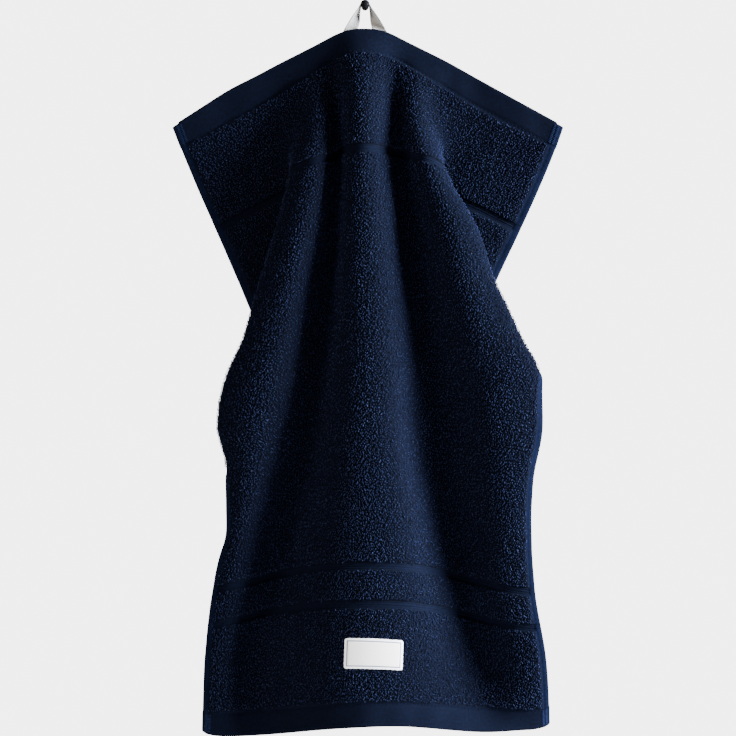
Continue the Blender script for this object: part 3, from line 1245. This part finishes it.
wide = beyond(tree, parts.outputs["X"], LABEL_WIDTH / 2 - FRAME_INSET)
tall = beyond(tree, parts.outputs["Y"], LABEL_HEIGHT / 2 - FRAME_INSET)
past_frame = add_node(tree, "ShaderNodeMath", {"operation": "MAXIMUM"},
                      {0: wide.outputs["Value"], 1: tall.outputs["Value"]})
off_line = add_node(tree, "ShaderNodeMath", {"operation": "ABSOLUTE"}, {0: past_frame.outputs["Value"]})
on_line = add_node(tree, "ShaderNodeMapRange",
                   {"From Min": FRAME_LINE * MM * LINE_OUTER, "From Max": FRAME_LINE * MM * LINE_INNER},
                   {"Value": off_line.outputs["Value"]})
outside = add_node(tree, "ShaderNodeMath", {"operation": "GREATER_THAN", 1: 0.0},
                   {0: past_frame.outputs["Value"]})
face = add_node(tree, "ShaderNodeMix",
                {"data_type": "RGBA", "A": linear(SATIN_DEEP), "B": linear(SATIN_LIGHT)},
                {"Factor": crowns.outputs["Value"]})
bordered = add_node(tree, "ShaderNodeMix", {"data_type": "RGBA", "B": linear(BORDER_WHITE)},
                    {"Factor": outside.outputs["Value"], "A": face.outputs["Result"]})
framed = add_node(tree, "ShaderNodeMix", {"data_type": "RGBA", "B": linear(FRAME_BLUE)},
                  {"Factor": on_line.outputs["Result"], "A": bordered.outputs["Result"]})
tree.links.new(framed.outputs["Result"], shader.inputs["Base Color"])
label.data.materials.append(label_cloth)
print("label:", label_cloth.name)

# %% Material of the peg
FLOW_MM = 2.2
FLOW_DEPTH_MM = 0.05
PEG_ROUGHNESS = {"To Min": 0.14, "To Max": 0.22}
PEG_DEEP = "#0a0a0b"
PEG_LIGHT = "#151516"
peg_gloss, tree, shader = new_material("black_moulded_plastic", {"IOR": 1.5, "Specular IOR Level": 0.01})
places = add_node(tree, "ShaderNodeTexCoord")
flow = add_node(tree, "ShaderNodeTexNoise", {"Scale": pattern_scale(FLOW_MM), "Detail": 3.0},
                {"Vector": places.outputs["Object"]})
rough = add_node(tree, "ShaderNodeMapRange", PEG_ROUGHNESS, {"Value": flow.outputs["Fac"]})
tree.links.new(rough.outputs["Result"], shader.inputs["Roughness"])
tint = add_node(tree, "ShaderNodeMix",
                {"data_type": "RGBA", "A": linear(PEG_DEEP), "B": linear(PEG_LIGHT)},
                {"Factor": flow.outputs["Fac"]})
tree.links.new(tint.outputs["Result"], shader.inputs["Base Color"])
bump = add_node(tree, "ShaderNodeBump", {"Strength": 0.03, "Distance": FLOW_DEPTH_MM * MM},
                {"Height": flow.outputs["Fac"]})
tree.links.new(bump.outputs["Normal"], shader.inputs["Normal"])
peg.data.materials.append(peg_gloss)
print("peg:", peg_gloss.name)

# %% [markdown]
# ## Light and floor
# The photograph is lit from the right by one large soft source, so every slope that faces right is bright
# and the others sink into near black. A weak fill from the left keeps the weave readable there, a small
# warm light in front lifts the crests, and one behind serves the views of the back. Only the camera sees
# the white backdrop: what reaches the cloth from around it is a faint grey.

# %% Lights
TOWEL_MIDDLE = (0.0, -0.02, -0.26)
# Each light: its place in metres, its size in metres, its power in watts and its colour.
LIGHTS = {
    "key_softbox": ((2.6, -0.5, 0.28), 1.05, 1150.0, "#edf3ff"),
    "fill_softbox": ((-1.6, -0.8, 0.3), 0.6, 42.0, "#f8f3ea"),
    "front_softbox": ((-0.35, -2.4, 0.25), 0.35, 9.5, "#ffe3c6"),
    "back_softbox": ((0.9, 1.6, 0.6), 1.0, 120.0, "#f4f7ff"),
}
AMBIENT = 0.01
BACKDROP = 5.0


def area_light(name, place, target, size, power, colour):
    """A square soft light at a place in metres, aimed at a target."""
    data = bpy.data.lights.new(name, "AREA")
    data.size = size
    data.energy = power
    data.color = linear(colour)[:3]
    lamp = bpy.data.objects.new(name, data)
    lamp.location = place
    lamp.rotation_euler = (Vector(target) - Vector(place)).to_track_quat("-Z", "Y").to_euler()
    bpy.context.scene.collection.objects.link(lamp)


for name, (place, size, power, colour) in LIGHTS.items():
    area_light(name, place, TOWEL_MIDDLE, size, power, colour)

world = bpy.data.worlds.new("white_studio")
bpy.context.scene.world = world
world.use_nodes = True
tree = world.node_tree
tree.nodes.clear()
seen = add_node(tree, "ShaderNodeLightPath").outputs["Is Camera Ray"]
around = add_node(tree, "ShaderNodeBackground", {"Strength": AMBIENT, "Color": linear("#eef1f6")})
backdrop = add_node(tree, "ShaderNodeBackground", {"Strength": BACKDROP, "Color": linear("#ffffff")})
sky = add_node(tree, "ShaderNodeMixShader", {}, {
    "Fac": seen, 1: around.outputs["Background"], 2: backdrop.outputs["Background"]})
add_node(tree, "ShaderNodeOutputWorld", {}, {"Surface": sky.outputs["Shader"]})

# %% Floor
FLOOR_DROP = 1.25
FLOOR_RADIUS = 1.15
FLOOR_FORWARD = 0.1
FLOOR_SIDES = 96
MOTTLE_MM = 1000 / 6
FLOOR_DEEP = "#e8e8e6"
FLOOR_LIGHT = "#f0f0ee"
angles = np.arange(FLOOR_SIDES) * 2 * math.pi / FLOOR_SIDES
rim = np.stack([np.cos(angles), np.sin(angles), np.zeros(FLOOR_SIDES)], axis=1) * FLOOR_RADIUS
rim += [0.0, -FLOOR_FORWARD, -FLOOR_DROP]
floor_mesh = bpy.data.meshes.new("studio_floor")
floor_mesh.from_pydata(rim.tolist(), [], [list(range(FLOOR_SIDES))])
floor = bpy.data.objects.new("studio_floor", floor_mesh)
bpy.context.scene.collection.objects.link(floor)
floor_paint, tree, shader = new_material("pale_matt_paint", {"Roughness": 0.9, "Specular IOR Level": 0.2})
places = add_node(tree, "ShaderNodeTexCoord")
mottle = add_node(tree, "ShaderNodeTexNoise", {"Scale": pattern_scale(MOTTLE_MM), "Detail": 3.0},
                  {"Vector": places.outputs["Object"]})
tint = add_node(tree, "ShaderNodeMix",
                {"data_type": "RGBA", "A": linear(FLOOR_DEEP), "B": linear(FLOOR_LIGHT)},
                {"Factor": mottle.outputs["Fac"]})
tree.links.new(tint.outputs["Result"], shader.inputs["Base Color"])
floor.data.materials.append(floor_paint)
print("floor, m below the peg:", FLOOR_DROP)

# %% [markdown]
# ## What each piece stands for
# Every piece rides on the towel's one body, names the finish that it takes, and says which solid of the
# frame it stands for. The sheets also say how large they were when they were cut.

pile = front_loops + back_loops
navy_sewing = [*hem_seams, hem_ends]
for piece in [ground, ribbon, label, peg, ribbon_sewing, label_sewing, *navy_sewing, *pile]:
    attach(piece, "root")
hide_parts("towel_cloth")
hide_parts("hanging_loop")
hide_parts("sewn_label")
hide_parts("wall_peg")
